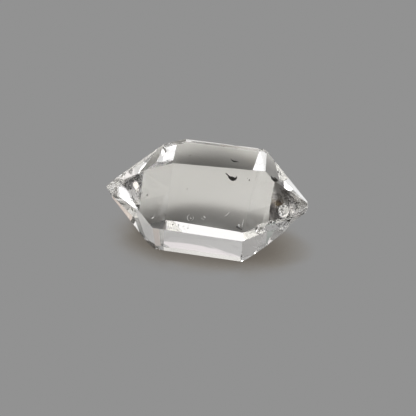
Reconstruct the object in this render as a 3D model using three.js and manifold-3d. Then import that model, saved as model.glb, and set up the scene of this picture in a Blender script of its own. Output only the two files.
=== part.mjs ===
// Herkimer diamond: one clear, doubly terminated quartz crystal, lying on one of its six long faces.
//
// Millimetres, +Z up. The long axis of the crystal runs along X, and the front looks towards -Y. The origin is on
// the resting surface, under the middle of the crystal.
//
// The crystal is made as nature makes it, face by face: each flat face is one plane, and everything outside that
// plane is cut off a blank. Six long faces go round the middle, with a narrow seventh at the back of the foot, and
// sloping faces close each end: six at the left, and eight at the right. Then come the ledge and the chips that the
// crystal has got since it grew.

import * as THREE from 'three';
import Module from 'manifold-3d';
import { mergeVertices } from 'three/addons/utils/BufferGeometryUtils.js';

// ---------------------------------------------------------------------------------------------- driving dimensions

const CENTRE_HEIGHT = 3.2;        // from the resting surface to the centre that the faces are measured from
const BLANK_SIZE = 40;            // edge of the blank, and of each cutter: larger than any crystal face

// A face is given by its turn (degrees round the long axis: 0 looks to the front, 90 looks up), its lean (degrees
// towards the right end, or below zero towards the left end) and its reach (distance from the centre).
const LONG_FACES = {
  front: { turn: 32.65, lean: 0.6, reach: 2.835 },
  top: { turn: 91.43, lean: -1.65, reach: 3.2 },
  back_top: { turn: 153.35, lean: 2.4, reach: 3.775 },
  back_under: { turn: 210.9, lean: 2.6, reach: 2.84 },
  back_foot: { turn: 213.85, lean: 0.7, reach: 3.015 },
  resting: { turn: 270, lean: 0, reach: CENTRE_HEIGHT },
  front_under: { turn: 333, lean: -0.25, reach: 3.713 },
};

const LEFT_END = {
  left_front: { turn: 31.3, lean: -39.3, reach: 4.845 },
  left_top: { turn: 90.2, lean: -38.7, reach: 4.549 },
  left_back_top: { turn: 150.75, lean: -37.6, reach: 4.38 },
  left_back_under: { turn: 211.3, lean: -38.15, reach: 4.06 },
  left_under: { turn: 273, lean: -40.4, reach: 4.865 },
  left_front_under: { turn: 332.3, lean: -39, reach: 4.764 },
};

const RIGHT_END = {
  right_front: { turn: 34.8, lean: 39.1, reach: 5.08 },
  right_top: { turn: 94.2, lean: 37.8, reach: 5.035 },
  right_back_top: { turn: 152.9, lean: 42.85, reach: 5.08 },
  right_back_under: { turn: 213.65, lean: 34.05, reach: 3.965 },
  right_under: { turn: 266.35, lean: 41.55, reach: 4.385 },
  right_front_under: { turn: 334, lean: 39.9, reach: 5.273 },
  right_steep: { turn: 333.8, lean: 26.2, reach: 4.725 },
  right_corner: { turn: 283.4, lean: 44.9, reach: 4.912 },
};

// The left tip is worn to a blunt point, and the right tip, a short ridge, is worn at both ends.
const WORN_TIPS = {
  left_tip: { turn: 40, lean: -78, reach: 7.01 },
  right_ridge_top: { turn: 130, lean: 75, reach: 7.02 },
  right_ridge_bottom: { turn: 300, lean: 72, reach: 6.75 },
};

// The corner under the right tip has broken back to a lower level. What has gone is all that lay outside the floor
// of the ledge and outside one of its walls: the long one, under the right front face, or the short one, at the end.
const LEDGE_FLOOR = { turn: 334, lean: 39.9, reach: 4.923 };
const LEDGE_WALLS = {
  long_wall: { turn: 62.5, lean: 25.7, reach: 3.385 },
  end_wall: { turn: 314.7, lean: 72.1, reach: 6.144 },
};

// A chip is a shallow round bowl with faint ripples, as quartz breaks. at is the middle of its rim, and toward is
// the way out of the stone.
const CHIPS = {
  ringed_chip: { at: [4.19, -3.21, 3.4], toward: [0.18, -0.88, 0.3], radius: 0.47, depth: 0.1, ripples: 4 },
  round_pit: { at: [5.55, -1.84, 4.05], toward: [0.63, -0.637, 0.443], radius: 0.46, depth: 0.2, ripples: 0 },
  corner_chip: { at: [4.74, -1.3, 6.1], toward: [0.5, -0.45, 0.72], radius: 0.3, depth: 0.07, ripples: 1 },
  corner_flake: { at: [4.85, -1.02, 5.98], toward: [0.6, -0.2, 0.8], radius: 0.17, depth: 0.05, ripples: 1 },
  ledge_chip_1: { at: [4.9, -2.9, 3.5], toward: [0.5, -0.6, 0.7], radius: 0.3, depth: 0.08, ripples: 2 },
  ledge_chip_2: { at: [5.35, -2.5, 3.48], toward: [0.45, -0.45, 0.75],
    radius: 0.26, depth: 0.07, ripples: 2 },
  ledge_chip_3: { at: [5.8, -2.05, 3.4], toward: [0.6, -0.4, 0.7], radius: 0.24, depth: 0.07, ripples: 1 },
  ledge_chip_4: { at: [5.6, -2.42, 3.0], toward: [0.64, -0.69, 0.1], radius: 0.2, depth: 0.06, ripples: 1 },
  top_edge_chip: { at: [1.58, 2.56, 6.39], toward: [0, 0.45, 0.9], radius: 0.22, depth: 0.05, ripples: 1 },
  top_corner_chip: { at: [3.3, 2.42, 6.42], toward: [0.3, 0.5, 0.8], radius: 0.16, depth: 0.05, ripples: 1 },
  front_nick: { at: [2.76, -3.27, 3.29], toward: [0, -0.84, 0.54], radius: 0.11, depth: 0.035, ripples: 0 },
  foot_chip_left: { at: [-2.8, -2.55, 0.05], toward: [-0.3, -0.7, -0.6],
    radius: 0.17, depth: 0.05, ripples: 1 },
  foot_chip_right: { at: [3.17, -2.65, 0.18], toward: [0.5, -0.8, -0.3],
    radius: 0.2, depth: 0.05, ripples: 1 },
  back_edge_chip: { at: [0.6, 3.8, 4], toward: [0, 1, 0], radius: 0.22, depth: 0.05, ripples: 1 },
  back_corner_chip: { at: [-2.5, 3.79, 3.78], toward: [-0.3, 0.9, -0.2], radius: 0.3, depth: 0.09, ripples: 2 },
};

const BOWL_SEGMENTS = 32;         // facets round a chip
const BOWL_STEPS = 6;             // facets from the middle of a chip to its rim, if it has no ripples
const RIPPLE_STEPS = 4;           // more facets for each ripple
const BOWL_CAP = 0.6;             // how far a chip's cutter stands out of the stone
const BOWL_FLARE = 1.3;           // how much wider it is there than at the rim
const RIPPLE_HEIGHT = 0.035;      // of a chip's ripples, as a share of its depth

const CRYSTAL_COLOUR = 0xe9e8e4;
const CRYSTAL_ROUGHNESS = 0.03;

// -------------------------------------------------------------------------------------------------------- helpers

const wasm = await Module();
wasm.setup();

/** Turns a closed three.js geometry into a solid that can be cut. */
function toSolid(geometry) {
  const plain = geometry.index ? geometry.toNonIndexed() : geometry.clone();
  plain.deleteAttribute('normal');
  plain.deleteAttribute('uv');
  const merged = mergeVertices(plain, 1e-5);
  return new wasm.Manifold(new wasm.Mesh({
    numProp: 3,
    vertProperties: new Float32Array(merged.attributes.position.array),
    triVerts: new Uint32Array(merged.index.array),
  }));
}

/** Turns a solid back into a three.js geometry. */
function toGeometry(solid) {
  const mesh = solid.getMesh();
  const geometry = new THREE.BufferGeometry();
  geometry.setAttribute('position', new THREE.BufferAttribute(new Float32Array(mesh.vertProperties), 3));
  geometry.setIndex(new THREE.BufferAttribute(new Uint32Array(mesh.triVerts), 1));
  geometry.computeVertexNormals();
  return geometry;
}

/** The way out of the stone through a face. */
function faceNormal({ turn, lean }) {
  const round = THREE.MathUtils.degToRad(turn);
  const slope = THREE.MathUtils.degToRad(lean);
  return new THREE.Vector3(
    Math.sin(slope),
    -Math.cos(slope) * Math.cos(round),
    Math.cos(slope) * Math.sin(round),
  );
}

/** The block of space outside a face: a big box that has one side lying on the face's plane. */
function outside(face) {
  const normal = faceNormal(face);
  const box = new THREE.BoxGeometry(BLANK_SIZE, BLANK_SIZE, BLANK_SIZE);
  box.translate(0, 0, BLANK_SIZE / 2 + face.reach);
  box.applyQuaternion(new THREE.Quaternion().setFromUnitVectors(new THREE.Vector3(0, 0, 1), normal));
  box.translate(0, 0, CENTRE_HEIGHT);
  return toSolid(box);
}

/** The cutter for a chip: a bowl turned on a lathe, closed above, standing on its middle. */
function bowl({ at, toward, radius, depth, ripples }) {
  const ball = (radius * radius + depth * depth) / (2 * depth);
  const steps = BOWL_STEPS + RIPPLE_STEPS * ripples;
  const profile = [];
  for (let step = 0; step <= steps; step += 1) {
    const share = step / steps;
    const across = radius * share;
    const floor = ball - Math.sqrt(ball * ball - across * across) - depth;
    const ripple = RIPPLE_HEIGHT * depth * Math.sin(2 * Math.PI * ripples * share) * share;
    profile.push(new THREE.Vector2(across, floor + ripple));
  }
  profile.push(new THREE.Vector2(radius * BOWL_FLARE, BOWL_CAP));
  profile.push(new THREE.Vector2(0, BOWL_CAP));
  const cutter = new THREE.LatheGeometry(profile, BOWL_SEGMENTS);
  const outward = new THREE.Vector3(...toward).normalize();
  cutter.applyQuaternion(new THREE.Quaternion().setFromUnitVectors(new THREE.Vector3(0, 1, 0), outward));
  cutter.translate(...at);
  return toSolid(cutter);
}

// -------------------------------------------------------------------------------------------------------- crystal

/** The crystal as it grew: a blank cut back to every face. */
function grownCrystal() {
  const blank = new THREE.BoxGeometry(BLANK_SIZE / 2, BLANK_SIZE / 2, BLANK_SIZE / 2);
  blank.translate(0, 0, CENTRE_HEIGHT);
  let crystal = toSolid(blank);
  for (const face of Object.values({ ...LONG_FACES, ...LEFT_END, ...RIGHT_END, ...WORN_TIPS })) {
    crystal = crystal.subtract(outside(face));
  }
  return crystal;
}

/** The same crystal with its broken corner and its chips. */
function chippedCrystal() {
  let crystal = grownCrystal();
  for (const wall of Object.values(LEDGE_WALLS)) {
    crystal = crystal.subtract(outside(LEDGE_FLOOR).intersect(outside(wall)));
  }
  for (const chip of Object.values(CHIPS)) {
    crystal = crystal.subtract(bowl(chip));
  }
  return crystal;
}

const crystal = new THREE.Mesh(
  toGeometry(chippedCrystal()),
  new THREE.MeshStandardMaterial({ color: CRYSTAL_COLOUR, roughness: CRYSTAL_ROUGHNESS, metalness: 0 }),
);
crystal.name = 'quartz_crystal';

// Standing on z = 0, with its middle over the origin.
const extent = new THREE.Box3().setFromObject(crystal);
const middle = extent.getCenter(new THREE.Vector3());
crystal.position.set(-middle.x, -middle.y, -extent.min.z);

const group = new THREE.Group();
group.add(crystal);

export default group;
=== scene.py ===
# %% [markdown]
# # A Herkimer diamond in Blender
#
# A Herkimer diamond is a quartz crystal that grew loose in a pocket of rock, so it has a point at both
# ends. What the eye sees is hardly the surface at all: it is the floor and the lights, bent by every face
# that the light goes through. So this lesson is about three things: faces that stay truly flat, a studio
# that gives the stone something to show, and the small marks that make glass read as stone.
#
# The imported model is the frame. It is in metres, +Z is up, the long axis of the crystal runs along X, and
# the front of the crystal looks towards -Y.

# %% The tools and the frame
import math
import random

import bmesh
import bpy
from mathutils import Matrix, Vector, noise
from mathutils.bvhtree import BVHTree


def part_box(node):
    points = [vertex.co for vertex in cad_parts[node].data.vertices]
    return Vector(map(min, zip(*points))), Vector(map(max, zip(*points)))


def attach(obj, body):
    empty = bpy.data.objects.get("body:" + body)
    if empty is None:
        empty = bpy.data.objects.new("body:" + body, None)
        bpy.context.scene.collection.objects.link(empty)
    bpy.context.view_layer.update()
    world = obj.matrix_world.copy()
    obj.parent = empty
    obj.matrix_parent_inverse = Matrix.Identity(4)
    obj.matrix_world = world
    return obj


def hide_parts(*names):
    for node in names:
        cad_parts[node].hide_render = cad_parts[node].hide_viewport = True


MM = 0.001                        # the sizes below are in millimetres

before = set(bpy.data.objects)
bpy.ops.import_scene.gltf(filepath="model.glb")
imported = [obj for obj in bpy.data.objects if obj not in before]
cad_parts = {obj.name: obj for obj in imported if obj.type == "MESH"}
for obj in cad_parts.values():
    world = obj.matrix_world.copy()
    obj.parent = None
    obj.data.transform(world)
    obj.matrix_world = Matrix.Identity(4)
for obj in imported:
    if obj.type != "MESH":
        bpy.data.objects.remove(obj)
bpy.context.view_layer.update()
stone_low, stone_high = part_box("quartz_crystal")
print("crystal, mm:", [round((high - low) / MM, 2) for low, high in zip(stone_low, stone_high)])

# %% [markdown]
# ## The camera
#
# The crystal is shown close up, from a little above. A short lens would make the near face bulge, so the
# camera stands four crystal lengths away and has a long lens. Its place is given by what it aims at and by
# how far round, how high and how far off it stands, because those are what one turns when one sets up a
# real tripod.

# %% A direction, as one points it out in a studio
def towards(round_degrees, high_degrees):
    """The unit vector from the stone to a place: 0 round is straight ahead, and 90 is on the right."""
    around = math.radians(round_degrees)
    up = math.radians(high_degrees)
    return Vector((math.sin(around) * math.cos(up), -math.cos(around) * math.cos(up), math.sin(up)))


print("on the right, halfway up:", [round(part, 2) for part in towards(90, 45)])

# %% A long lens, a little above the stone
CAMERA_AIM = Vector((0.029, 1.057, 1.795)) * MM
CAMERA_DISTANCE = 59.95 * MM
CAMERA_ROUND = 6.34               # degrees to the right of straight ahead
CAMERA_HIGH = 30.2                # degrees above the horizon
CAMERA_ROLL = 4.52                # degrees, leaning to the left
CAMERA_LENS = 71.19               # millimetres
SENSOR_WIDTH = 36                 # millimetres
NEAREST_SEEN = 1 * MM
FARTHEST_SEEN = 10                # metres


def place_camera():
    lens = bpy.data.cameras.new("long_lens")
    lens.sensor_width = SENSOR_WIDTH
    lens.lens = CAMERA_LENS
    lens.clip_start = NEAREST_SEEN
    lens.clip_end = FARTHEST_SEEN
    camera = bpy.data.objects.new("camera", lens)
    back = towards(CAMERA_ROUND, CAMERA_HIGH)
    camera.location = CAMERA_AIM + back * CAMERA_DISTANCE
    level = (-back).to_track_quat("-Z", "Y").to_matrix()
    roll = Matrix.Rotation(math.radians(CAMERA_ROLL), 3, back)
    camera.rotation_euler = (roll @ level).to_euler()
    scene.collection.objects.link(camera)
    scene.camera = camera
    return camera


scene = bpy.context.scene
camera = place_camera()
print("camera at, mm:", [round(value / MM, 2) for value in camera.location])

# %% [markdown]
# ## The studio
#
# Clear quartz has no colour of its own to show. Each face is a small window or a mirror, and its angle
# fixes which part of the studio it shows, so the light is as much a part of the look as the stone. Gem
# studios use a light tent: a pale dome, brightest overhead, with lamps behind its cloth, and pale or dark
# cards in front of it. The dome could be a mesh with lamps round it. Here it is the world, whose nodes say
# for each direction how bright the tent is. That costs no geometry, gives no noise, and keeps each lamp,
# card or shade as one line of a table.
#
# Nearly all of these patches have a soft rim. Two things are special. The pale card behind the stone has a
# sharp edge: seen through the lower front face, that edge is the line between the two tones of the face.
# And the camera itself sees none of this, only an even grey.

# %% Helpers for building node trees
def add_node(tree, kind, **settings):
    """A new node, with its properties and its unlinked inputs set by name."""
    made = tree.nodes.new(kind)
    for name, value in settings.items():
        if name in made.bl_rna.properties:
            setattr(made, name, value)
        else:
            made.inputs[name.replace("_", " ")].default_value = value
    return made


def give(tree, socket, value):
    """Links another node's output to an input, or sets the input to a number or a colour."""
    if isinstance(value, bpy.types.NodeSocket):
        tree.links.new(value, socket)
    else:
        socket.default_value = value


def math_node(tree, operation, first, second):
    """A sum, a product or a share of two values: each is a socket or a number."""
    made = add_node(tree, "ShaderNodeMath", operation=operation)
    give(tree, made.inputs[0], first)
    give(tree, made.inputs[1], second)
    return made.outputs[0]


def fade(tree, value, start, end, least=0.0):
    """From least where the value is at start to 1 where it is at end, smoothly. Start may be the larger."""
    made = add_node(tree, "ShaderNodeMapRange", interpolation_type="SMOOTHSTEP",
                    From_Min=start, From_Max=end, To_Min=least)
    tree.links.new(value, made.inputs["Value"])
    return made.outputs[0]


# %% Helpers for colours in node trees
def colour_sockets(sockets):
    """The sockets for colours, out of all those that a Mix node has for other kinds of value."""
    return [socket for socket in sockets if socket.type == "RGBA"]


def mix_colours(tree, factor, first, second):
    """The first colour where the factor is 0, and the second where it is 1."""
    made = add_node(tree, "ShaderNodeMix", data_type="RGBA")
    tree.links.new(factor, made.inputs["Factor"])
    for socket, colour in zip(colour_sockets(made.inputs), (first, second)):
        give(tree, socket, colour)
    return colour_sockets(made.outputs)[0]


def colour_ramp(tree, value, stops):
    """A colour for each value, from pairs of a value and the colour there."""
    made = add_node(tree, "ShaderNodeValToRGB")
    elements = made.color_ramp.elements
    while len(elements) < len(stops):
        elements.new(1.0)
    for element, (position, colour) in zip(elements, stops):
        element.position = position
        element.color = (*colour, 1.0)
    tree.links.new(value, made.inputs[0])
    return made.outputs[0]


# %% How bright the tent is at each height
TENT_HEIGHTS = (                  # degrees above the horizon, and the brightness there
    (0, 0.9),
    (12, 0.33),
    (25, 0.36),
    (45, 0.39),
    (62, 1.0),
    (90, 1.05),
)
TENT_TINT = (1.0, 0.985, 0.97)    # a touch of warmth
DARKEST = (0.02, 0.02, 0.02)      # no part of the tent is darker than this
BACKDROP_GREY = 0.287             # what the camera itself sees of floor and tent


def dome(tree, direction):
    """The light of the bare tent, which depends on the height alone."""
    parts = add_node(tree, "ShaderNodeSeparateXYZ")
    tree.links.new(direction, parts.inputs[0])
    stops = [(math.sin(math.radians(height)), [brightness * tint for tint in TENT_TINT])
             for height, brightness in TENT_HEIGHTS]
    return colour_ramp(tree, parts.outputs["Z"], stops)


# %% Lamps, which add light to a part of the tent, and shades, which take it away
TENT_PATCHES = (                  # name, degrees round, degrees high, half width, soft rim, light added
    ("overhead_lamp", 290, 70, 7, 4, (7.0, 6.9, 6.8)),
    ("top_glow", 23, 85, 7.5, 6, (1.2, 1.2, 1.2)),
    ("lamp_behind", 177, 36, 10.5, 12, (0.72, 0.7, 0.66)),
    ("low_lamp_behind", 154, 27, 5.5, 5, (3.0, 2.9, 2.8)),
    ("high_lamp_behind", 222, 56, 10, 5.5, (1.35, 1.3, 1.25)),
    ("lamp_in_front", 6, 31, 10.6, 5, (0.8, 0.78, 0.76)),
    ("right_shade", 113, 17, 10.5, 17, (-0.5, -0.5, -0.5)),
    ("high_right_shade", 106, 64, 7.5, 13, (-0.7, -0.7, -0.7)),
    ("card_behind", 196.5, -41.1, 50, 0.07, (0.32, 0.28, 0.29)),
    ("card_corner", 210, 3, 10, 7, (-0.32, -0.28, -0.29)),
    ("card_end", 216, 7, 2, 2, (0.34, 0.33, 0.33)),
    ("left_lamp", 289, 2, 6, 4, (0.45, 0.46, 0.47)),
    ("high_glow", 142, 72, 4, 4, (0.4, 0.36, 0.36)),
    ("top_left_lamp", 338, 74, 5, 5, (0.15, 0.16, 0.17)),
    ("warm_right", 84, 18, 4, 5, (0.38, 0.28, 0.22)),
    ("left_mirror_shade", 194, 19, 3, 3, (-0.4, -0.4, -0.4)),
    ("back_gap", 188, 28, 3.5, 3, (-1.6, -1.6, -1.6)),
    ("back_shade", 165, 32, 12.5, 8, (-0.75, -0.75, -0.75)),
    ("low_back_shade", 219, -7, 13, 14, (-0.3, -0.3, -0.3)),
    ("high_back_shade", 233, 59, 9, 7, (-1.9, -1.9, -1.9)),
    ("left_shade", 261, 12, 11, 11, (-0.9, -0.9, -0.9)),
    ("high_left_shade", 341, 47, 14, 3, (-0.8, -0.8, -0.8)),
    ("camera_shade", 41, 20, 12, 11, (-1.05, -1.05, -1.05)),
    ("high_camera_shade", 12, 54, 18, 5, (-0.47, -0.47, -0.47)),
)


def add_patch(tree, direction, light, patch):
    """Adds a patch of the table to the light: in full over its half width, then fading out over its rim."""
    name, round_degrees, high_degrees, half_width, rim, colour = patch
    nearness = add_node(tree, "ShaderNodeVectorMath", operation="DOT_PRODUCT")
    tree.links.new(direction, nearness.inputs[0])
    nearness.inputs[1].default_value = towards(round_degrees, high_degrees)
    outer = math.cos(math.radians(half_width + rim))
    inner = math.cos(math.radians(half_width))
    added = add_node(tree, "ShaderNodeVectorMath", operation="MULTIPLY_ADD", label=name)
    tree.links.new(fade(tree, nearness.outputs["Value"], outer, inner), added.inputs[0])
    added.inputs[1].default_value = colour
    tree.links.new(light, added.inputs[2])
    return added.outputs[0]


print("tent:", len(TENT_HEIGHTS), "heights and", len(TENT_PATCHES), "patches")

# %% The tent, as the world
def tent_light(tree):
    direction = add_node(tree, "ShaderNodeTexCoord").outputs["Generated"]
    light = dome(tree, direction)
    for patch in TENT_PATCHES:
        light = add_patch(tree, direction, light, patch)
    at_least = add_node(tree, "ShaderNodeVectorMath", operation="MAXIMUM")
    at_least.inputs[1].default_value = DARKEST
    tree.links.new(light, at_least.inputs[0])
    return at_least.outputs[0]


def tent_world():
    world = bpy.data.worlds.new("light_tent")
    world.use_nodes = True
    tree = world.node_tree
    tree.nodes.clear()
    camera_ray = add_node(tree, "ShaderNodeLightPath").outputs["Is Camera Ray"]
    seen = mix_colours(tree, camera_ray, tent_light(tree), (*[BACKDROP_GREY] * 3, 1.0))
    background = add_node(tree, "ShaderNodeBackground")
    tree.links.new(seen, background.inputs["Color"])
    output = add_node(tree, "ShaderNodeOutputWorld")
    tree.links.new(background.outputs[0], output.inputs["Surface"])
    return world


scene.world = tent_world()
print("world:", scene.world.name, "with", len(scene.world.node_tree.nodes), "nodes")

# %% [markdown]
# ## How the light is counted
#
# Light can bounce many times inside a crystal before it leaves, so glass goes black if Cycles gives up
# early. The plain Standard view keeps whites white. Caustics, the light that a stone throws onto its
# floor, could be left on, but they need a great many samples. They are off, and the floor below gets a
# little light of its own in their place.

# %% Many bounces, and a plain view
MOST_BOUNCES = 32

scene.cycles.max_bounces = MOST_BOUNCES
scene.cycles.transmission_bounces = MOST_BOUNCES
scene.cycles.glossy_bounces = MOST_BOUNCES // 2
scene.cycles.caustics_reflective = False
scene.cycles.caustics_refractive = False
scene.view_settings.view_transform = "Standard"
print("bounces:", MOST_BOUNCES, "and of gloss:", scene.cycles.glossy_bounces)

# %% [markdown]
# ## The floor
#
# The stone lies on pale paper, and most of what its broad front face shows is that paper, seen through the
# stone and out of its back. So the paper is truly lit, and its shade close to the stone is what darkens the
# lower half of the face. To the camera the same paper is an even mid grey, with a soft brown shade only
# where it is nearly covered. The two could be two sheets, but one sheet with two finishes can't slip.
#
# Ambient occlusion, which measures how much of the sky a point of the floor sees, gives both shades their
# place: one ramp of it darkens the lit paper, and another colours the plain paper. Round spots, each a
# line of a table, move them a little. Under the stone the paper glows faintly, which stands for the light
# that comes down through clear quartz. The floor lies a hair's breadth under the resting face: if the two
# touched, that face would stop being a mirror.

# %% A round spot of the floor
FLOOR_HALF = 2.0                  # metres
FLOOR_GAP = 0.025 * MM


def spot_factor(tree, place, name, x, y, half_width, rim):
    """1 on a round spot of the floor, fading to 0 over its rim. Sizes are in millimetres."""
    away = add_node(tree, "ShaderNodeVectorMath", operation="DISTANCE", label=name)
    tree.links.new(place, away.inputs[0])
    away.inputs[1].default_value = (x * MM, y * MM, -FLOOR_GAP)
    return fade(tree, away.outputs["Value"], (half_width + rim) * MM, half_width * MM)


def with_spots(tree, place, amount, spots):
    """The amount, which each spot of a table makes larger or smaller by the share in its last column."""
    for name, x, y, half_width, rim, change in spots:
        spot = spot_factor(tree, place, name, x, y, half_width, rim)
        share = math_node(tree, "MULTIPLY", spot, change)
        amount = math_node(tree, "MULTIPLY", math_node(tree, "ADD", share, 1.0), amount)
    return amount


# %% The paper as the stone sees it: truly lit
PAPER = (0.87, 0.87, 0.835)
DARKEST_SKY = 0.45                # where no more of the sky than this is seen, the paper is at its darkest
OPEN_SKY = 0.6                    # and where this much is seen, it is fully lit
DARKEST_PAPER = 0.62              # how much of its light it keeps at its darkest

PAPER_SPOTS = (                   # name, x and y in mm, half width, soft rim, how much lighter or darker
    ("camera_shade", -6.0, -11.0, 2.5, 4.0, -0.85),
    ("light_through_right", 6.4, -5.4, 1.0, 2.0, 0.6),
    ("light_behind_right", 7.5, 5.4, 1.3, 1.5, 0.6),
    ("light_beyond_right", 8.6, -1.1, 0.8, 1.0, 0.6),
    ("light_through_left", -6.9, -1.6, 0.8, 1.2, 0.6),
)
GLOW_SPOTS = (                    # the same, but the last is how bright the paper glows under the stone
    ("under_middle", 0.3, -0.7, 0.6, 2.6, 0.3),
    ("under_right", 3.2, -0.3, 0.2, 1.2, 0.07),
)


def glow_under_stone(tree, place):
    glow = add_node(tree, "ShaderNodeEmission")
    glow.inputs["Color"].default_value = (*PAPER, 1.0)
    strength = 0.0
    for name, x, y, half_width, rim, brightness in GLOW_SPOTS:
        spot = spot_factor(tree, place, name, x, y, half_width, rim)
        strength = math_node(tree, "ADD", math_node(tree, "MULTIPLY", spot, brightness), strength)
    tree.links.new(strength, glow.inputs["Strength"])
    return glow.outputs[0]


def lit_paper(tree, place, sky_seen):
    shaded = fade(tree, sky_seen, DARKEST_SKY, OPEN_SKY, least=DARKEST_PAPER)
    tone = add_node(tree, "ShaderNodeVectorMath", operation="SCALE")
    tone.inputs[0].default_value = PAPER
    tree.links.new(with_spots(tree, place, shaded, PAPER_SPOTS), tone.inputs["Scale"])
    lit = add_node(tree, "ShaderNodeBsdfDiffuse")
    tree.links.new(tone.outputs[0], lit.inputs["Color"])
    both = add_node(tree, "ShaderNodeAddShader")
    tree.links.new(lit.outputs[0], both.inputs[0])
    tree.links.new(glow_under_stone(tree, place), both.inputs[1])
    return both.outputs[0]


print("lit paper:", len(PAPER_SPOTS), "spots, and", len(GLOW_SPOTS), "under the stone")

# %% The paper as the camera sees it: even, with a brown shade by the stone
SHADE_STEPS = (                   # how much of the sky is seen, and the colour of the paper there
    (0.3, (0.15, 0.135, 0.118)),
    (0.47, (0.185, 0.168, 0.145)),
    (0.57, (0.243, 0.228, 0.206)),
    (0.67, (BACKDROP_GREY,) * 3),
)
SHADE_SPOTS = (                   # name, x and y in mm, half width, soft rim, how much more or less sky
    ("right_end", 5.9, 0.0, 1.3, 2.4, -0.18),
    ("front_foot", 0.6, -3.6, 1.4, 1.8, 0.12),
)


def plain_paper(tree, place, sky_seen):
    plain = add_node(tree, "ShaderNodeEmission")
    shade = colour_ramp(tree, with_spots(tree, place, sky_seen, SHADE_SPOTS), SHADE_STEPS)
    tree.links.new(shade, plain.inputs["Color"])
    return plain.outputs[0]


print("plain paper:", len(SHADE_STEPS), "steps of shade and", len(SHADE_SPOTS), "spots")

# %% The sheet
SHADE_REACH = 6 * MM              # how far the covering stone may be from a shaded point
SHADE_SAMPLES = 8


def paper_material():
    material = bpy.data.materials.new("floor_paper")
    material.use_nodes = True
    tree = material.node_tree
    tree.nodes.clear()
    place = add_node(tree, "ShaderNodeNewGeometry").outputs["Position"]
    sky_seen = add_node(tree, "ShaderNodeAmbientOcclusion", samples=SHADE_SAMPLES, Distance=SHADE_REACH)
    camera_ray = add_node(tree, "ShaderNodeLightPath").outputs["Is Camera Ray"]
    choice = add_node(tree, "ShaderNodeMixShader")
    tree.links.new(camera_ray, choice.inputs[0])
    tree.links.new(lit_paper(tree, place, sky_seen.outputs["AO"]), choice.inputs[1])
    tree.links.new(plain_paper(tree, place, sky_seen.outputs["AO"]), choice.inputs[2])
    output = add_node(tree, "ShaderNodeOutputMaterial")
    tree.links.new(choice.outputs[0], output.inputs["Surface"])
    return material


def lay_floor():
    sides = ((-1, -1), (1, -1), (1, 1), (-1, 1))
    corners = [(x * FLOOR_HALF, y * FLOOR_HALF, -FLOOR_GAP) for x, y in sides]
    sheet = bpy.data.meshes.new("floor")
    sheet.from_pydata(corners, [], [(0, 1, 2, 3)])
    sheet.materials.append(paper_material())
    floor = bpy.data.objects.new("floor", sheet)
    scene.collection.objects.link(floor)


lay_floor()
print("floor:", 2 * FLOOR_HALF, "m square,", round(FLOOR_GAP / MM, 3), "mm under the stone")

# %% [markdown]
# ## The crystal
#
# The shape is the part's own: flat grown faces, a broken ledge, and chips. Glass asks for nothing more
# than true flat faces and clean edges, so the look starts from a copy of it. Two kinds of wear are added.
# A natural edge is never razor sharp, and the thin line of light along it is what shows where a face ends,
# so the long edges get a hair-fine rounding. The two tips have rubbed against other stones, so the short
# edges there are rounded more. A bevel of chosen edges does both, and leaves the faces flat, which
# smoothing the whole mesh would not.

# %% The part's crystal, back in whole faces
WELD = 0.0002 * MM                # corners closer than this are one corner
FLAT = math.radians(0.05)         # faces that differ by less than this are one face
GROWN_FACE = 0.25 * MM * MM       # grown faces are larger than this, and facets of chips are smaller


def whole_faces(node):
    crystal = bmesh.new()
    crystal.from_mesh(node.data)
    bmesh.ops.remove_doubles(crystal, verts=crystal.verts, dist=WELD)
    bmesh.ops.dissolve_limit(crystal, angle_limit=FLAT, verts=crystal.verts, edges=crystal.edges)
    return crystal


crystal = whole_faces(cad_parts["quartz_crystal"])
grown = sum(face.calc_area() > GROWN_FACE for face in crystal.faces)
print("crystal:", grown, "grown faces,", len(crystal.faces) - grown, "facets in chips")

# %% Rubbed tips and fine edges
TIPS = ((-7.1, -0.5, 3.3), (7.1, -0.35, 3.8))     # millimetres
TIP_SIZE = 0.55 * MM              # short edges this near a tip are part of it
TIP_ROUNDING = 0.14 * MM
TIP_STEPS = 4
EDGE_ROUNDING = 0.03 * MM
EDGE_STEPS = 2
ROUNDED_ANGLE = math.radians(3)   # edges blunter than this stay as they are
ROUND_PROFILE = 0.5               # a bevel with this profile is part of a circle


def near_a_tip(edge):
    middle = (edge.verts[0].co + edge.verts[1].co) / 2
    return any((middle - Vector(tip) * MM).length < TIP_SIZE for tip in TIPS)


def is_grown(edge):
    return edge.is_manifold and all(face.calc_area() > GROWN_FACE for face in edge.link_faces)


def round_edges(edges, width, steps):
    bmesh.ops.bevel(crystal, geom=edges, offset=width, offset_type="OFFSET", segments=steps,
                    profile=ROUND_PROFILE, affect="EDGES", clamp_overlap=True)


tip_edges = [edge for edge in crystal.edges if near_a_tip(edge)]
round_edges(tip_edges, TIP_ROUNDING, TIP_STEPS)
long_edges = [edge for edge in crystal.edges
              if is_grown(edge) and not near_a_tip(edge) and edge.calc_face_angle() > ROUNDED_ANGLE]
round_edges(long_edges, EDGE_ROUNDING, EDGE_STEPS)
print("rounded:", len(long_edges), "long edges and", len(tip_edges), "short ones at the tips")

# %% Flat faces stay flat, and bowls and rounded edges are smooth
CREASE = math.radians(25)         # a sharper bend than this stays a crease

for face in crystal.faces:
    face.smooth = face.calc_area() < GROWN_FACE
for edge in crystal.edges:
    beside_a_flat = any(not face.smooth for face in edge.link_faces)
    edge.smooth = not beside_a_flat and edge.calc_face_angle(0) < CREASE
print("creases:", sum(not edge.smooth for edge in crystal.edges), "of", len(crystal.edges), "edges")

# %% The stone
mesh = bpy.data.meshes.new("clear_quartz")
crystal.to_mesh(mesh)
stone = bpy.data.objects.new("clear_quartz", mesh)
scene.collection.objects.link(stone)
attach(stone, "root")
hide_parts("quartz_crystal")
print("stone:", len(mesh.polygons), "faces")

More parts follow.
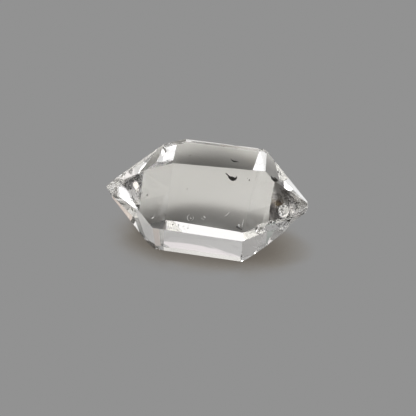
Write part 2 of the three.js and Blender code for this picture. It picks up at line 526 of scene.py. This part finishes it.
# %% [markdown]
# ## The skin of the stone
#
# Quartz is clear right through, and its skin carries what there is to see: growth marks so low that they
# only make a reflection waver, and on the two faces beside the tips a fine etching that breaks the view up
# into specks. Both could be cut into the mesh, but they are far finer than its faces, so they are bump
# from a noise. They are the same effect at different sizes, so one node group makes them. Glass stays
# plain glass: full transmission, and the refractive index of quartz.

# %% A helper for node groups
NUMBER = "NodeSocketFloat"
DIRECTION = "NodeSocketVector"
COLOUR = "NodeSocketColor"


def new_group(name, takes, gives):
    """An empty node group with named sockets: the group, then what it takes, then what it gives."""
    group = bpy.data.node_groups.new(name, "ShaderNodeTree")
    for socket, kind in takes.items():
        group.interface.new_socket(socket, in_out="INPUT", socket_type=kind)
    for socket, kind in gives.items():
        group.interface.new_socket(socket, in_out="OUTPUT", socket_type=kind)
    return group, group.nodes.new("NodeGroupInput").outputs, group.nodes.new("NodeGroupOutput").inputs


# %% Marks on the skin, as a group
MARKS_DETAIL = 2.0
FROST_FROM = 0.55                 # height of a mark, as a share, where frost begins on it
FROST_FULL = 0.75                 # and where the frost is full


def skin_marks():
    """In: the size of the marks and how high they stand, in metres. Out: the bent normal, and the frost."""
    group, taken, given = new_group("skin_marks", takes={"Size": NUMBER, "Height": NUMBER},
                                    gives={"Normal": DIRECTION, "Frost": NUMBER})
    place = add_node(group, "ShaderNodeTexCoord").outputs["Object"]
    marks = add_node(group, "ShaderNodeTexNoise", Detail=MARKS_DETAIL)
    group.links.new(place, marks.inputs["Vector"])
    group.links.new(math_node(group, "DIVIDE", 1.0, taken["Size"]), marks.inputs["Scale"])
    relief = add_node(group, "ShaderNodeBump", Strength=1.0)
    group.links.new(taken["Height"], relief.inputs["Distance"])
    group.links.new(marks.outputs["Fac"], relief.inputs["Height"])
    group.links.new(relief.outputs["Normal"], given["Normal"])
    frost = add_node(group, "ShaderNodeMapRange", From_Min=FROST_FROM, From_Max=FROST_FULL)
    group.links.new(marks.outputs["Fac"], frost.inputs["Value"])
    group.links.new(frost.outputs[0], given["Frost"])
    return group


marks_group = skin_marks()
print("group:", marks_group.name, "with", len(marks_group.nodes), "nodes")

# %% Two kinds of face: smooth and etched
QUARTZ_IOR = 1.5468
COLOURLESS = (1.0, 1.0, 1.0, 1.0)


def quartz_material(name, mark_size, mark_height, frost):
    """Clear quartz. The marks are in millimetres, and frost is the roughness where they are highest."""
    material = bpy.data.materials.new(name)
    material.use_nodes = True
    tree = material.node_tree
    skin = tree.nodes["Principled BSDF"]
    skin.inputs["Base Color"].default_value = COLOURLESS
    skin.inputs["IOR"].default_value = QUARTZ_IOR
    skin.inputs["Transmission Weight"].default_value = 1.0
    marks = add_node(tree, "ShaderNodeGroup")
    marks.node_tree = marks_group
    marks.inputs["Size"].default_value = mark_size * MM
    marks.inputs["Height"].default_value = mark_height * MM
    tree.links.new(marks.outputs["Normal"], skin.inputs["Normal"])
    tree.links.new(math_node(tree, "MULTIPLY", marks.outputs["Frost"], frost), skin.inputs["Roughness"])
    return material


mesh.materials.append(quartz_material("clear_quartz", mark_size=1.2, mark_height=0.0004, frost=0.02))
mesh.materials.append(quartz_material("etched_quartz", mark_size=0.13, mark_height=0.005, frost=0.05))
print("finishes:", ", ".join(material.name for material in mesh.materials))

# %% The etched faces: the front one at each end
ETCHED_FACES = (                  # degrees round the crystal, and towards its right end (below 0: left)
    (31.3, -39.3),
    (34.8, 39.1),
)
SAME_FACE = math.cos(math.radians(3))             # a face that looks the same way to within this is the one


def faces_out(turn_degrees, lean_degrees):
    """The way out of the stone through a face."""
    turn = math.radians(turn_degrees)
    lean = math.radians(lean_degrees)
    across = math.cos(lean)
    return Vector((math.sin(lean), -across * math.cos(turn), across * math.sin(turn)))


for turn, lean in ETCHED_FACES:
    for face in mesh.polygons:
        if face.area > GROWN_FACE and face.normal.dot(faces_out(turn, lean)) > SAME_FACE:
            face.material_index = 1
print("etched:", sum(face.material_index for face in mesh.polygons), "faces")

# %% [markdown]
# ## What is sealed in the stone
#
# Few crystals of this kind are empty. Grains of mineral, fine dust, tiny bubbles and healed cracks are
# caught in them while they grow. A marking could be painted on the faces, but what lies inside glass
# shifts as the stone is turned, so each is a small mesh of its own. They sit a hair under the surface, and
# the glass in front of them bends and brightens them as it does in a real stone. Some pieces are painted
# light or shade: the cracks, sparks and bubble rims glow a little, and one black lump stands for shade.

# %% Finding the skin of the stone
under_skin = BVHTree.FromBMesh(crystal)


def beneath(place, depth):
    """From a place and a depth, in mm: the point that deep under the nearest skin, and the way out."""
    spot, outward, _, _ = under_skin.find_nearest(Vector(place) * MM)
    return spot - outward * depth * MM, outward


top, _ = beneath((0, 0, 10), 0)
print("top of the stone, mm:", round(top.z / MM, 2))

# %% Making a mesh into a piece of the part
def finish_piece(name, work, material):
    """A smooth piece of one material, which moves with the crystal."""
    for face in work.faces:
        face.smooth = True
    mesh = bpy.data.meshes.new(name)
    work.to_mesh(mesh)
    work.free()
    mesh.materials.append(material)
    piece = bpy.data.objects.new(name, mesh)
    scene.collection.objects.link(piece)
    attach(piece, "root")
    return piece


# %% [markdown]
# ## Grains
#
# The black grains are a tarry mineral that the growing crystal closed over, and the rusty ones are iron
# stain. A grain is never one ball: it is a row of lumps that have run together. So each is a chain of
# balls, swollen unevenly by a noise and small enough that they melt into one outline. The largest is the
# black comma near the upper edge of the front face. One grain is not sealed in: it is dirt in the chip at
# the corner of the face, and lies half out of the stone. One black chain, pit_shade, is no grain: it is
# painted shade by the pit on the right, where the stone looks dark. What the grains are made of is gritty
# all through. The dust and the cracks further on are too, so the grit is a node group that they share.

# %% Grit, as a group: all the grains, dust and cracks have it
GRIT_SCALE = 9000.0               # nine specks of grit to the millimetre
GRIT_DETAIL = 3.0


def gritty_colour():
    """In: the darkest and the lightest colour of the grit. Out: its colour from place to place."""
    group, taken, given = new_group("grit", takes={"Darkest": COLOUR, "Lightest": COLOUR},
                                    gives={"Colour": COLOUR})
    place = add_node(group, "ShaderNodeTexCoord").outputs["Object"]
    specks = add_node(group, "ShaderNodeTexNoise", Scale=GRIT_SCALE, Detail=GRIT_DETAIL)
    group.links.new(place, specks.inputs["Vector"])
    colour = mix_colours(group, specks.outputs["Fac"], taken["Darkest"], taken["Lightest"])
    group.links.new(colour, given["Colour"])
    return group


grit_group = gritty_colour()
print("group:", grit_group.name, "with", len(grit_group.nodes), "nodes")

# %% Dull, gritty stuff for grains
DARKER = 0.5                      # the grit runs from this share of the colour
LIGHTER = 1.5                     # to this


def grain_material(name, colour, roughness):
    material = bpy.data.materials.new(name)
    material.use_nodes = True
    tree = material.node_tree
    skin = tree.nodes["Principled BSDF"]
    skin.inputs["Roughness"].default_value = roughness
    grit = add_node(tree, "ShaderNodeGroup")
    grit.node_tree = grit_group
    grit.inputs["Darkest"].default_value = (*[part * DARKER for part in colour], 1.0)
    grit.inputs["Lightest"].default_value = (*[part * LIGHTER for part in colour], 1.0)
    tree.links.new(grit.outputs["Colour"], skin.inputs["Base Color"])
    return material


black_grain_and_shade = grain_material("black_grain_and_shade", (0.03, 0.03, 0.025), roughness=0.5)
rusty_stain = grain_material("rusty_stain", (0.27, 0.225, 0.19), roughness=0.8)
print("stuff for grains:", black_grain_and_shade.name, "and", rusty_stain.name)

# %% Where the grains and the painted shade are: the lumps of each, as (x, y, z, radius) in millimetres
GRAINS_AND_SHADE = {
    "comma_grain": (
        (1.35, -1.5, 6.16, 0.04), (1.43, -1.53, 6.11, 0.05), (1.52, -1.56, 6.05, 0.05),
        (1.6, -1.6, 5.98, 0.08), (1.68, -1.63, 5.93, 0.1), (1.76, -1.67, 5.88, 0.1),
        (1.87, -1.68, 5.87, 0.1), (1.97, -1.66, 5.9, 0.09), (2.04, -1.62, 5.96, 0.07),
        (2.08, -1.57, 6.03, 0.04), (1.78, -1.61, 5.98, 0.07), (1.9, -1.6, 5.97, 0.05),
    ),
    "dash_grain": (
        (1.43, 0.24, 6.44, 0.03), (1.5, 0.13, 6.44, 0.04), (1.58, 0.03, 6.45, 0.06),
        (1.67, -0.04, 6.45, 0.075), (1.77, -0.07, 6.45, 0.075), (1.87, -0.08, 6.45, 0.055),
        (1.97, -0.09, 6.46, 0.035),
    ),
    "nick_grain": (
        (2.55, -3.36, 3.22, 0.05), (2.65, -3.38, 3.2, 0.07), (2.76, -3.4, 3.17, 0.07),
        (2.87, -3.42, 3.13, 0.05),
    ),
    "left_grain": ((-3.77, -2.68, 4.41, 0.03), (-3.77, -2.71, 4.35, 0.035), (-3.76, -2.74, 4.3, 0.02)),
    "top_grain": ((-1.4, 0.19, 6.36, 0.025), (-1.4, 0.1, 6.36, 0.035), (-1.43, 0.0, 6.36, 0.02)),
    "red_grain": ((2.96, -1.6, 5.98, 0.03), (2.96, -1.63, 5.93, 0.035), (2.83, -1.56, 6.03, 0.02)),
    "corner_grain": (
        (4.36, -1.33, 6.24, 0.03), (4.41, -1.33, 6.2, 0.05), (4.46, -1.33, 6.17, 0.07),
        (4.52, -1.34, 6.12, 0.085), (4.58, -1.35, 6.08, 0.09), (4.64, -1.33, 6.02, 0.085),
        (4.7, -1.3, 5.97, 0.07), (4.76, -1.27, 5.93, 0.05), (4.62, -1.02, 6.03, 0.05),
        (4.69, -1.02, 5.97, 0.06), (4.76, -1.03, 5.91, 0.05), (4.82, -1.04, 5.86, 0.03),
    ),
    "foot_grain": ((3.17, -2.79, 0.46, 0.03), (3.3, -2.74, 0.5, 0.04), (3.45, -2.69, 0.55, 0.035)),
    # pit_shade is no grain: it is painted shade by the pit, where the stone looks dark
    "pit_shade": (
        (5.3, -1.94, 4.2, 0.04), (5.24, -2.04, 4.07, 0.06), (5.22, -2.12, 3.94, 0.06),
        (5.26, -2.14, 3.82, 0.04),
    ),
    "pale_grain": ((-1.12, -2.27, 5.0, 0.025),),
}
RUSTY_GRAINS = ("red_grain", "left_grain", "top_grain", "pale_grain")
GRAIN_DEPTH = 0.06                # from the skin to the near side of a lump
GRAIN_DEPTHS = {"corner_grain": -0.07}            # the dirt in the chip lies half out of the stone
print("grains:", ", ".join(GRAINS_AND_SHADE))

# %% Each grain or painted shade, lump by lump
LUMP_DETAIL = 3
LUMP_ROUGHNESS = 0.35             # how far a lump swells or shrinks, as a share of its radius
LUMP_SWELLS = 2                   # swells of the noise over the radius of a lump
NOISE_SHIFT = 20000               # a short way in the stone is a long way in the noise, so no lumps match


def add_lumps(name, lumps, material):
    grain = bmesh.new()
    for x, y, z, radius in lumps:
        centre, _ = beneath((x, y, z), GRAIN_DEPTHS.get(name, GRAIN_DEPTH) + radius)
        ball = bmesh.ops.create_icosphere(grain, subdivisions=LUMP_DETAIL, radius=1.0)["verts"]
        for vertex in ball:
            swell = noise.noise(vertex.co * LUMP_SWELLS + centre * NOISE_SHIFT)
            vertex.co = centre + vertex.co * (1 + LUMP_ROUGHNESS * swell) * radius * MM
    return finish_piece(name, grain, material)


for name, lumps in GRAINS_AND_SHADE.items():
    grain = add_lumps(name, lumps, rusty_stain if name in RUSTY_GRAINS else black_grain_and_shade)
    print(name, "has", len(grain.data.vertices), "corners")

# %% [markdown]
# ## Clouds of fine dust
#
# Under the end faces lie veils of dust, which make clear glass look mottled, and the broken ledge has
# rusty dirt in it. A noise in the material could darken the face, but real specks are seen against
# whatever the face shows, bright or dark. So each cloud is up to a few hundred tiny balls of twenty faces,
# at random places in a four-cornered patch under the skin. Each is stretched a little along the skin. The
# name of the cloud is the seed of its random numbers, which keeps it the same every time.

# %% Where the dust is
DUST_SIZES = (0.013, 0.036)       # smallest and largest radius of a speck, in millimetres
DUST_STRETCH = 2.0                # a speck is up to this much longer than wide
DUST_DEPTH = 0.02                 # from the skin to the near side of a speck
DUST_DETAIL = 1
CLEAR_PLACE = Vector((-4.78, -2.02, 4.62))        # here a painted glint shows; no dust is in front of it
CLEAR_RADIUS = 0.34

CLOUDS = {                        # number of specks, then the four corners of the patch in millimetres
    "left_dust": (560, ((-5.9, -1.25, 4.05), (-4.6, -1.7, 5.35), (-4.3, -2.25, 4.95), (-5.2, -1.8, 4.0))),
    "left_low_dust": (70, ((-4.95, -2.0, 4.4), (-4.5, -2.2, 4.6), (-4.1, -2.65, 4.45), (-4.5, -2.6, 4.0))),
    "right_dust": (300, ((5.0, -1.35, 5.5), (5.6, -1.05, 5.15), (6.6, -0.8, 4.15), (5.8, -1.45, 4.45))),
    "right_low_dust": (130, ((4.95, -1.6, 5.3), (5.3, -1.5, 5.0), (5.25, -2.1, 4.3), (5.0, -2.4, 4.05))),
    "ledge_rust": (70, ((4.6, -3.0, 3.7), (6.0, -1.8, 3.4), (5.85, -1.9, 2.7), (4.9, -2.9, 2.9))),
    "band_dust": (24, ((-2.5, -3.5, 3.05), (-0.6, -3.65, 3.0), (-0.5, -3.8, 2.5), (-2.3, -3.65, 2.5))),
}
print("specks asked for:", sum(count for count, _ in CLOUDS.values()))

# %% Each cloud, speck by speck
def random_turn(chance):
    """A direction: all of them are equally likely."""
    return Vector((chance.gauss(0, 1), chance.gauss(0, 1), chance.gauss(0, 1))).normalized()


def add_cloud(name, count, corners, material):
    cloud = bmesh.new()
    chance = random.Random(name)
    first, second, third, fourth = [Vector(corner) for corner in corners]
    for _ in range(count):
        along = chance.random()
        across = chance.random()
        radius = chance.uniform(*DUST_SIZES)
        place = first.lerp(second, along).lerp(fourth.lerp(third, along), across)
        if (place - CLEAR_PLACE).length < CLEAR_RADIUS:
            continue
        centre, outward = beneath(place, DUST_DEPTH + radius)
        turn = random_turn(chance)
        longer = chance.uniform(1, DUST_STRETCH)
        lengthwise = turn - outward * turn.dot(outward)
        for vertex in bmesh.ops.create_icosphere(cloud, subdivisions=DUST_DETAIL, radius=1.0)["verts"]:
            stretched = vertex.co + lengthwise * vertex.co.dot(lengthwise) * (longer - 1)
            vertex.co = centre + stretched * radius * MM
    return finish_piece(name, cloud, material)


smoky_dust = grain_material("smoky_dust", (0.13, 0.12, 0.11), roughness=0.6)
for name, (count, corners) in CLOUDS.items():
    cloud = add_cloud(name, count, corners, rusty_stain if name == "ledge_rust" else smoky_dust)
    print(name, "has", len(cloud.data.polygons), "facets")

# %% [markdown]
# ## Scratches, healed cracks, sparks and bubbles
#
# These are what light catches on, and each glows a little: that glow is painted light. A scratch or a
# healed crack is a thin tube along a few points, and a spark, a painted glint where a flake of crack would
# mirror a lamp, is a short thick one that glows more. A bubble shows only as parts of its rim, the arcs
# that face the light, so it is drawn as glowing arcs, a painted highlight, and not as a ball. A curve with
# a round bevel would do for all of them. Here the tube is made ring by ring instead, each as wide as the
# thread is there: that gives it fine ends, and makes it a plain mesh like the other pieces.

# %% Pale stuff for threads, with a painted glow
PALE = (0.8, 0.8, 0.8)


def painted_glow_material(name, glow_colour, glow):
    """Pale stuff with a painted glow, since in the glass little light falls on a small white thing."""
    material = grain_material(name, PALE, roughness=0.6)
    skin = material.node_tree.nodes["Principled BSDF"]
    skin.inputs["Emission Color"].default_value = (*glow_colour, 1.0)
    skin.inputs["Emission Strength"].default_value = glow
    return material


# Both glow, which is painted light: the first for cracks, scratches and bubble rims, the second for glints.
pale_and_glow = painted_glow_material("pale_and_glow", (1.0, 0.98, 0.96), glow=0.5)
painted_glint = painted_glow_material("painted_glint", (1.0, 0.95, 0.88), glow=1.1)
print("stuff for threads:", pale_and_glow.name, "and", painted_glint.name)

# %% One thread
THREAD_SIDES = 8
THREAD_DEPTH = 0.03               # from the skin to the near side of a thread, in millimetres
THREAD_ENDS = 0.3                 # a thread is nowhere thinner than this share of its thickness


def thread_ring(thread, spot, along, outward, reach):
    """The corners of a tube round one spot of its line."""
    side = along.cross(outward).normalized()
    up = side.cross(along)
    angles = [2 * math.pi * step / THREAD_SIDES for step in range(THREAD_SIDES)]
    return [thread.verts.new(spot + (side * math.cos(angle) + up * math.sin(angle)) * reach)
            for angle in angles]


def add_thread(name, thickness, line, material):
    thread = bmesh.new()
    rings = []
    for here, (spot, outward) in enumerate(line):
        before = line[max(here - 1, 0)][0]
        after = line[min(here + 1, len(line) - 1)][0]
        swell = math.sin(math.pi * (here + 0.5) / len(line))
        reach = thickness * (THREAD_ENDS + (1 - THREAD_ENDS) * swell) * MM
        rings.append(thread_ring(thread, spot, (after - before).normalized(), outward, reach))
    for first, second in zip(rings, rings[1:]):
        for step in range(THREAD_SIDES):
            beside = (step + 1) % THREAD_SIDES
            thread.faces.new((first[step], first[beside], second[beside], second[step]))
    thread.faces.new(rings[0][::-1])
    thread.faces.new(rings[-1])
    return finish_piece(name, thread, material)


# %% Scratches, cracks and sparks: the thickness of each, then its points, in millimetres
THREADS = {
    "scratch": (0.02, (
        (1.65, -3.05, 3.74), (1.72, -3.01, 3.78), (1.81, -2.97, 3.86), (1.86, -2.93, 3.92),
        (1.92, -2.87, 4.01),
    )),
    "corner_light": (0.02, ((4.5, -1.18, 6.12), (4.63, -1.17, 6.02), (4.74, -1.14, 5.93))),
    "steep_scratch_1": (0.012, ((3.93, -3.44, 2.61), (4.1, -3.1, 2.05), (4.3, -2.75, 1.6))),
    "steep_scratch_2": (0.01, ((4.25, -3.28, 2.65), (4.45, -2.95, 2.1))),
    "steep_scratch_3": (0.015, ((3.71, -3.13, 1.74), (3.95, -2.9, 1.5), (4.2, -2.62, 1.25))),
    "comb_1": (0.01, ((0.1, -3.25, 3.42), (0.16, -3.2, 3.54))),
    "comb_2": (0.01, ((0.17, -3.27, 3.38), (0.24, -3.22, 3.5))),
    "comb_3": (0.01, ((0.25, -3.29, 3.34), (0.32, -3.24, 3.45))),
    "fleck": (0.035, ((0.24, -3.16, 3.6), (0.32, -3.19, 3.55), (0.38, -3.21, 3.48))),
    "edge_line": (0.02, (
        (2.93, -3.05, 3.7), (2.93, -3.15, 3.55), (2.9, -3.26, 3.38), (2.91, -3.35, 3.24),
    )),
    "left_spark": (0.23, (
        (-5.0, -1.83, 4.57), (-4.87, -1.92, 4.6), (-4.76, -2.03, 4.6), (-4.63, -2.16, 4.58),
    )),
    "left_spark_tail": (0.16, ((-4.7, -2.15, 4.5), (-4.62, -2.24, 4.4), (-4.55, -2.33, 4.3))),
    "pit_glint": (0.04, (
        (5.42, -2.02, 3.76), (5.6, -1.9, 3.7), (5.78, -1.72, 3.78), (5.88, -1.6, 3.92),
    )),
    "nick_light": (0.05, ((2.68, -3.27, 3.4), (2.67, -3.3, 3.33), (2.7, -3.33, 3.27))),
}
# The sparks and the pit's glint glow most: they are painted glints, where a flake would mirror a lamp.
PAINTED_GLINTS = ("left_spark", "left_spark_tail", "pit_glint")

for name, (thickness, places) in THREADS.items():
    line = [beneath(place, THREAD_DEPTH + thickness) for place in places]
    thread = add_thread(name, thickness, line, painted_glint if name in PAINTED_GLINTS else pale_and_glow)
print("threads:", ", ".join(THREADS))

# %% Bubbles: the lit arcs of their rims, drawn as painted highlights, in millimetres and degrees
BUBBLES = {                       # centre, radius, thickness, then start and end of the arc in degrees
    "front_bubble_top": ((-0.62, -3.29, 3.4), 0.22, 0.02, 20, 170),
    "front_bubble_foot": ((-0.62, -3.29, 3.4), 0.2, 0.01, 200, 320),
    "front_bubble_core": ((-0.59, -3.29, 3.4), 0.05, 0.015, 0, 300),
    "upper_bubble": ((4.05, -1.65, 5.95), 0.12, 0.008, 30, 200),
    "patch_bubble": ((3.41, -0.01, 6.5), 0.2, 0.02, 0, 340),
}
ARC_POINTS = 24
LONG_AXIS = Vector((1, 0, 0))


def arc(centre, radius, start, end):
    """An arc that lies flat under the skin, as a line for a thread."""
    middle, outward = beneath(centre, THREAD_DEPTH)
    side = outward.cross(LONG_AXIS).normalized()
    up = outward.cross(side)
    line = []
    for step in range(ARC_POINTS):
        turn = math.radians(start + (end - start) * step / (ARC_POINTS - 1))
        line.append((middle + (side * math.cos(turn) + up * math.sin(turn)) * radius * MM, outward))
    return line


for name, (centre, radius, thickness, start, end) in BUBBLES.items():
    bubble = add_thread(name, thickness, arc(centre, radius, start, end), pale_and_glow)
print("bubbles:", ", ".join(BUBBLES))
